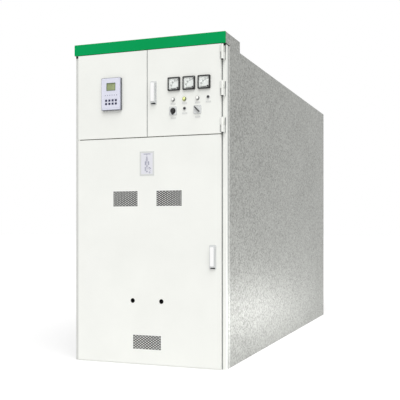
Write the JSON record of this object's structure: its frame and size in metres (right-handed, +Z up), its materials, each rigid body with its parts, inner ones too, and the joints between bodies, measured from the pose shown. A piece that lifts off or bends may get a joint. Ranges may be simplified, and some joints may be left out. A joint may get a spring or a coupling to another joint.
{
  "type": "metal-clad switchgear",
  "caption": "Withdrawable metal-clad switchgear panel with instrument doors over a vented main door, breaker truck, shutters, busbars and earthing switch",
  "frame": {"origin": "on the floor, at the centre of the footprint between the door face and the rear covers", "axes": "+Z up, +X to the right seen from the front, -Y out of the doors"},
  "size_m": [1.4, 3.0295, 2.69],
  "materials": {
    "door_white": "smooth powder coat, near white",
    "frame_grey": "powder coat, pale grey",
    "galvanised": "zinc-coated sheet with fine spangle",
    "fascia_green": "gloss enamel",
    "base_steel": "primer grey",
    "zinc_parts": "bright zinc plating",
    "copper": "bare and silvered copper",
    "epoxy_brown": "cast epoxy resin",
    "black_plastic": "moulded, slight texture",
    "pale_plastic": "moulded, pale grey",
    "relay_shell": "moulded, pale lavender grey",
    "key_navy": "silicone keys",
    "lamp": "clear lens with a metal bezel",
    "handle_white": "smooth die-cast, white",
    "housing_grey": "powder coat",
    "shutter_green": "powder coat",
    "red_button": "moulded"
  },
  "bodies": {
    "cabinet": {"base_frame": "base_steel", "floor_plate": "galvanised", "side_panel_left": "galvanised", "side_panel_right": "galvanised", "front_posts": "frame_grey", "roof_plates": "galvanised", "header_box": "galvanised", "header_fascia": "fascia_green", "rear_covers": "galvanised", "instrument_tray": "galvanised", "terminal_plate": "pale_plastic", "partitions": "galvanised", "contact_boxes": "epoxy_brown", "main_busbars": "copper", "branch_bars": "copper", "post_insulators": "epoxy_brown", "current_transformers": "epoxy_brown", "earthing_frame": "zinc_parts", "truck_rails": "zinc_parts", "racking_beam": "zinc_parts"},
    "main_door": {"main_door": "door_white", "vent_plates": "door_white", "main_handle_base": "zinc_parts"},
    "main_handle_spindle": {"main_handle_spindle": "zinc_parts"},
    "main_handle_lever": {"main_handle_lever": "handle_white"},
    "lv_door_right": {"lv_door_right": "door_white", "panel_meters": "black_plastic", "signal_lamps": "lamp", "control_bezels": "pale_plastic", "lv_handle_base": "zinc_parts"},
    "meter_needle_1": {"meter_needle_1": "black_plastic"},
    "meter_needle_2": {"meter_needle_2": "black_plastic"},
    "meter_needle_3": {"meter_needle_3": "black_plastic"},
    "push_button_upper": {"push_button_upper": "black_plastic"},
    "push_button_lower": {"push_button_lower": "black_plastic"},
    "selector_knob": {"selector_knob": "black_plastic"},
    "control_handle": {"control_handle": "black_plastic"},
    "lv_handle_spindle": {"lv_handle_spindle": "zinc_parts"},
    "lv_handle_lever": {"lv_handle_lever": "handle_white"},
    "lv_door_left": {"lv_door_left": "door_white", "relay_unit": "relay_shell"},
    "truck": {"truck_chassis": "zinc_parts", "breaker_housing": "housing_grey", "breaker_poles": "epoxy_brown", "contact_arms": "copper"},
    "front_wheels": {"front_wheels": "base_steel"},
    "rear_wheels": {"rear_wheels": "base_steel"},
    "trip_button": {"trip_button": "red_button"},
    "racking_screw": {"racking_screw": "zinc_parts"},
    "upper_shutter": {"upper_shutter": "shutter_green"},
    "lower_shutter": {"lower_shutter": "shutter_green"},
    "earthing_blades": {"earthing_blades": "copper"},
    "relay_key_1": {"relay_key_1": "key_navy"},
    "relay_key_2": {"relay_key_2": "key_navy"},
    "relay_key_3": {"relay_key_3": "key_navy"},
    "relay_key_4": {"relay_key_4": "key_navy"},
    "relay_key_5": {"relay_key_5": "key_navy"},
    "relay_key_6": {"relay_key_6": "key_navy"},
    "relay_key_7": {"relay_key_7": "key_navy"},
    "relay_key_8": {"relay_key_8": "key_navy"}
  },
  "joints": [
    {"name": "main_door_swing", "type": "hinge", "parent": "cabinet", "child": "main_door", "pos_m": [-0.654, -1.492, 0.9], "axis": [0, 0, -1], "range_deg": [0, 120]},
    {"name": "main_handle_turn", "type": "hinge", "parent": "main_door", "child": "main_handle_spindle", "pos_m": [0.596, -1.5, 0.974], "axis": [0, 1, 0], "range_deg": [0, 90]},
    {"name": "main_handle_lift", "type": "hinge", "parent": "main_handle_spindle", "child": "main_handle_lever", "pos_m": [0.596, -1.519, 0.974], "axis": [-1, 0, 0], "range_deg": [0, 60]},
    {"name": "lv_door_right_swing", "type": "hinge", "parent": "cabinet", "child": "lv_door_right", "pos_m": [0.68, -1.51, 2.2], "axis": [0, 0, 1], "range_deg": [0, 120]},
    {"name": "lv_handle_turn", "type": "hinge", "parent": "lv_door_right", "child": "lv_handle_spindle", "pos_m": [0.064, -1.5, 2.314], "axis": [0, 1, 0], "range_deg": [0, 90]},
    {"name": "lv_handle_lift", "type": "hinge", "parent": "lv_handle_spindle", "child": "lv_handle_lever", "pos_m": [0.064, -1.519, 2.314], "axis": [-1, 0, 0], "range_deg": [0, 60]},
    {"name": "meter_needle_1_turn", "type": "hinge", "parent": "lv_door_right", "child": "meter_needle_1", "pos_m": [0.287, -1.51, 2.262], "axis": [0, 1, 0], "range_deg": [0, 90], "stiffness_Nm_per_rad": 0.005},
    {"name": "meter_needle_2_turn", "type": "hinge", "parent": "lv_door_right", "child": "meter_needle_2", "pos_m": [0.421, -1.51, 2.262], "axis": [0, 1, 0], "range_deg": [0, 90], "stiffness_Nm_per_rad": 0.005},
    {"name": "meter_needle_3_turn", "type": "hinge", "parent": "lv_door_right", "child": "meter_needle_3", "pos_m": [0.555, -1.51, 2.262], "axis": [0, 1, 0], "range_deg": [0, 90], "stiffness_Nm_per_rad": 0.005},
    {"name": "push_button_upper_press", "type": "slide", "parent": "lv_door_right", "child": "push_button_upper", "axis": [0, 1, 0], "range_m": [0, 0.004], "stiffness_N_per_m": 300},
    {"name": "push_button_lower_press", "type": "slide", "parent": "lv_door_right", "child": "push_button_lower", "axis": [0, 1, 0], "range_m": [0, 0.004], "stiffness_N_per_m": 300},
    {"name": "selector_turn", "type": "hinge", "parent": "lv_door_right", "child": "selector_knob", "pos_m": [0.242, -1.5, 2.081], "axis": [0, 1, 0], "range_deg": [-45, 45]},
    {"name": "control_handle_turn", "type": "hinge", "parent": "lv_door_right", "child": "control_handle", "pos_m": [0.46, -1.5, 2.081], "axis": [0, 1, 0], "range_deg": [-45, 45]},
    {"name": "lv_door_left_swing", "type": "hinge", "parent": "cabinet", "child": "lv_door_left", "pos_m": [-0.654, -1.492, 2.2], "axis": [0, 0, -1], "range_deg": [0, 120]},
    {"name": "relay_key_1_press", "type": "slide", "parent": "lv_door_left", "child": "relay_key_1", "axis": [0, 1, 0], "range_m": [0, 0.0015], "stiffness_N_per_m": 300},
    {"name": "relay_key_2_press", "type": "slide", "parent": "lv_door_left", "child": "relay_key_2", "axis": [0, 1, 0], "range_m": [0, 0.0015], "stiffness_N_per_m": 300},
    {"name": "relay_key_3_press", "type": "slide", "parent": "lv_door_left", "child": "relay_key_3", "axis": [0, 1, 0], "range_m": [0, 0.0015], "stiffness_N_per_m": 300},
    {"name": "relay_key_4_press", "type": "slide", "parent": "lv_door_left", "child": "relay_key_4", "axis": [0, 1, 0], "range_m": [0, 0.0015], "stiffness_N_per_m": 300},
    {"name": "relay_key_5_press", "type": "slide", "parent": "lv_door_left", "child": "relay_key_5", "axis": [0, 1, 0], "range_m": [0, 0.0015], "stiffness_N_per_m": 300},
    {"name": "relay_key_6_press", "type": "slide", "parent": "lv_door_left", "child": "relay_key_6", "axis": [0, 1, 0], "range_m": [0, 0.0015], "stiffness_N_per_m": 300},
    {"name": "relay_key_7_press", "type": "slide", "parent": "lv_door_left", "child": "relay_key_7", "axis": [0, 1, 0], "range_m": [0, 0.0015], "stiffness_N_per_m": 300},
    {"name": "relay_key_8_press", "type": "slide", "parent": "lv_door_left", "child": "relay_key_8", "axis": [0, 1, 0], "range_m": [0, 0.0015], "stiffness_N_per_m": 300},
    {"name": "truck_rack", "type": "slide", "parent": "cabinet", "child": "truck", "axis": [0, -1, 0], "range_m": [0, 0.35]},
    {"name": "front_wheels_roll", "type": "hinge", "parent": "truck", "child": "front_wheels", "pos_m": [0, -0.93, 0.513], "axis": [1, 0, 0], "range_deg": [-10, 520]},
    {"name": "rear_wheels_roll", "type": "hinge", "parent": "truck", "child": "rear_wheels", "pos_m": [0, -0.53, 0.513], "axis": [1, 0, 0], "range_deg": [-10, 520]},
    {"name": "trip_button_press", "type": "slide", "parent": "truck", "child": "trip_button", "axis": [0, 1, 0], "range_m": [0, 0.008], "stiffness_N_per_m": 500},
    {"name": "racking_screw_turn", "type": "hinge", "parent": "cabinet", "child": "racking_screw", "pos_m": [-0.133, -1.4, 0.528], "axis": [0, -1, 0], "range_deg": [-10, 6310]},
    {"name": "upper_shutter_drop", "type": "slide", "parent": "cabinet", "child": "upper_shutter", "axis": [0, 0, -1], "range_m": [0, 0.3]},
    {"name": "lower_shutter_rise", "type": "slide", "parent": "cabinet", "child": "lower_shutter", "axis": [0, 0, 1], "range_m": [0, 0.3]},
    {"name": "earthing_swing", "type": "hinge", "parent": "cabinet", "child": "earthing_blades", "pos_m": [0, 1.01, 0.3], "axis": [1, 0, 0], "range_deg": [0, 105]}
  ],
  "couplings": [
    {"joint": "front_wheels_roll", "follows": "truck_rack", "rad_per_m": 25.19},
    {"joint": "rear_wheels_roll", "follows": "truck_rack", "rad_per_m": 25.19},
    {"joint": "racking_screw_turn", "follows": "truck_rack", "rad_per_m": 314.15},
    {"joint": "upper_shutter_drop", "follows": "truck_rack", "ratio": 0.857},
    {"joint": "lower_shutter_rise", "follows": "truck_rack", "ratio": 0.857}
  ]
}
